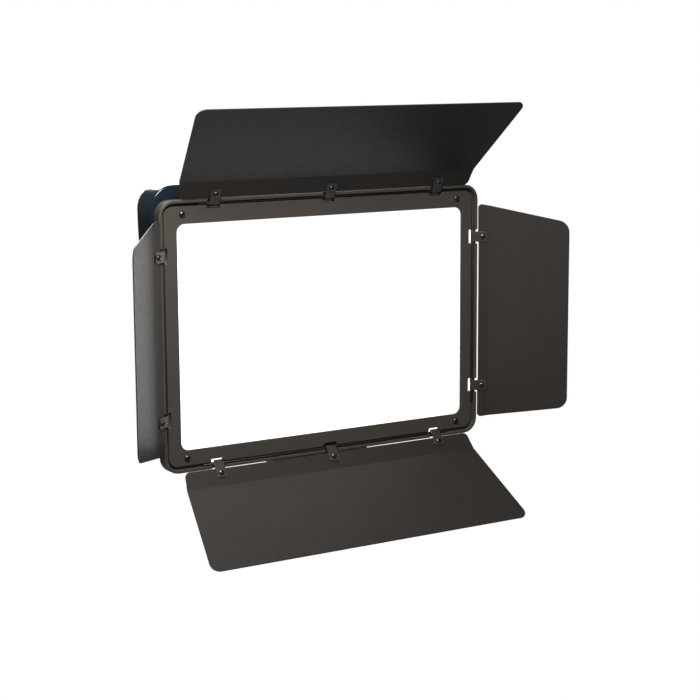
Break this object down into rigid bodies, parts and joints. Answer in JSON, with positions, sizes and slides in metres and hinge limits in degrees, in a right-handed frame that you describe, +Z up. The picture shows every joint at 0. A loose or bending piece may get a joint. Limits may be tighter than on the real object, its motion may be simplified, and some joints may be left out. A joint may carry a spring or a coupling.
{
  "type": "led panel light",
  "caption": "Flat lit panel in a black sheet-metal front with folding barn doors on every side, a deep rear shell with controls and battery plates, and a tilting stand adapter.",
  "frame": {"origin": "centre of the stand socket's mouth, at the bottom of the adapter", "axes": "+Z up, out of the stand; -Y the way the light shines; +X to the right as the lit side is seen"},
  "size_m": [0.4267, 0.1404, 0.3706],
  "materials": {
    "powder_coat": "fine-textured matte black powder coat",
    "door_coat": "fine-textured matte black powder coat on sheet",
    "clip_metal": "blackened sheet steel",
    "screw_metal": "black zinc",
    "rod_steel": "black oxide on drawn wire",
    "zinc_steel": "bright zinc",
    "gloss_shell": "moulded gloss black",
    "matte_plastic": "moulded matte black",
    "knob_plastic": "soft-touch black",
    "rocker_red": "moulded red",
    "white_reflector": "matte white",
    "opal_diffuser": "opal acrylic, lit",
    "circuit_board": "solder mask",
    "display_glass": "clear polished",
    "bare_aluminium": "extruded",
    "fibre": "pressed fibre",
    "cast_alloy": "satin black over die cast"
  },
  "bodies": {
    "stand": {"stand_receiver": "cast_alloy"},
    "head": {"front_bezel": "powder_coat", "front_housing": "powder_coat", "rear_shell": "gloss_shell", "diffuser_plate": "opal_diffuser", "reflector_tray": "white_reflector", "led_board": "circuit_board", "light_liner": "white_reflector", "heat_sink": "bare_aluminium", "driver_board": "circuit_board", "control_board": "circuit_board", "display_window": "display_glass", "rocker_housing": "matte_plastic", "dc_jack": "matte_plastic", "battery_plate_left": "matte_plastic", "battery_plate_right": "matte_plastic", "hinge_rod_top": "rod_steel", "hinge_rod_right": "rod_steel", "hinge_rod_bottom": "rod_steel", "hinge_rod_left": "rod_steel", "bezel_screw_lower_left": "screw_metal", "bezel_screw_lower_right": "screw_metal", "bezel_screw_upper_left": "screw_metal", "bezel_screw_upper_right": "screw_metal", "stand_bracket": "powder_coat", "tilt_bolt": "zinc_steel", "friction_washer_left": "fibre", "friction_washer_right": "fibre"},
    "door_top": {"barn_door_top": "door_coat", "hinge_clip_top_1": "clip_metal", "hinge_clip_top_2": "clip_metal", "hinge_clip_top_3": "clip_metal", "clip_screw_top_1": "screw_metal", "clip_screw_top_2": "screw_metal", "clip_screw_top_3": "screw_metal"},
    "door_right": {"barn_door_right": "door_coat", "hinge_clip_right_1": "clip_metal", "hinge_clip_right_2": "clip_metal", "clip_screw_right_1": "screw_metal", "clip_screw_right_2": "screw_metal"},
    "door_bottom": {"barn_door_bottom": "door_coat", "hinge_clip_bottom_1": "clip_metal", "hinge_clip_bottom_2": "clip_metal", "hinge_clip_bottom_3": "clip_metal", "clip_screw_bottom_1": "screw_metal", "clip_screw_bottom_2": "screw_metal", "clip_screw_bottom_3": "screw_metal"},
    "door_left": {"barn_door_left": "door_coat", "hinge_clip_left_1": "clip_metal", "hinge_clip_left_2": "clip_metal", "clip_screw_left_1": "screw_metal", "clip_screw_left_2": "screw_metal"},
    "brightness_dial": {"brightness_knob": "knob_plastic"},
    "colour_dial": {"colour_knob": "knob_plastic"},
    "rocker": {"power_rocker": "rocker_red"},
    "button": {"mode_button": "knob_plastic"},
    "latch_left": {"battery_latch_left": "knob_plastic"},
    "latch_right": {"battery_latch_right": "knob_plastic"},
    "clamp_knob": {"tilt_knob": "knob_plastic"},
    "spigot_screw": {"thumb_screw": "knob_plastic"}
  },
  "joints": [
    {"name": "head_tilt", "type": "hinge", "parent": "stand", "child": "head", "pos_m": [0, 0, 0.046], "axis": [1, 0, 0], "range_deg": [-85, 40]},
    {"name": "door_top_hinge", "type": "hinge", "parent": "head", "child": "door_top", "pos_m": [0, -0.0315, 0.2795], "axis": [-1, 0, 0], "range_deg": [-105, 25]},
    {"name": "door_bottom_hinge", "type": "hinge", "parent": "head", "child": "door_bottom", "pos_m": [0, -0.0315, 0.0575], "axis": [1, 0, 0], "range_deg": [-97, 22]},
    {"name": "door_right_hinge", "type": "hinge", "parent": "head", "child": "door_right", "pos_m": [0.1565, -0.0315, 0.1685], "axis": [0, 0, 1], "range_deg": [-114, 36]},
    {"name": "door_left_hinge", "type": "hinge", "parent": "head", "child": "door_left", "pos_m": [-0.1565, -0.0315, 0.1685], "axis": [0, 0, -1], "range_deg": [-117.5, 32.5]},
    {"name": "brightness_turn", "type": "hinge", "parent": "head", "child": "brightness_dial", "pos_m": [-0.024, 0.0155, 0.1805], "axis": [0, -1, 0], "range_deg": [-150, 150]},
    {"name": "colour_turn", "type": "hinge", "parent": "head", "child": "colour_dial", "pos_m": [0.024, 0.0155, 0.1805], "axis": [0, -1, 0], "range_deg": [-150, 150]},
    {"name": "rocker_tip", "type": "hinge", "parent": "head", "child": "rocker", "pos_m": [-0.017, 0.0135, 0.1365], "axis": [0, 0, 1], "range_deg": [-18, 0]},
    {"name": "mode_press", "type": "slide", "parent": "head", "child": "button", "axis": [0, -1, 0], "range_m": [0, 0.0012], "stiffness_N_per_m": 400, "springref_m": -0.0005},
    {"name": "latch_left_press", "type": "slide", "parent": "head", "child": "latch_left", "axis": [0, -1, 0], "range_m": [0, 0.003], "stiffness_N_per_m": 300, "springref_m": -0.001},
    {"name": "latch_right_press", "type": "slide", "parent": "head", "child": "latch_right", "axis": [0, -1, 0], "range_m": [0, 0.003], "stiffness_N_per_m": 300, "springref_m": -0.001},
    {"name": "tilt_knob_turn", "type": "hinge", "parent": "head", "child": "clamp_knob", "pos_m": [0.045, 0, 0.046], "axis": [1, 0, 0], "continuous": true},
    {"name": "thumb_screw_turn", "type": "hinge", "parent": "stand", "child": "spigot_screw", "pos_m": [-0.025, 0, 0.014], "axis": [-1, 0, 0], "continuous": true}
  ]
}
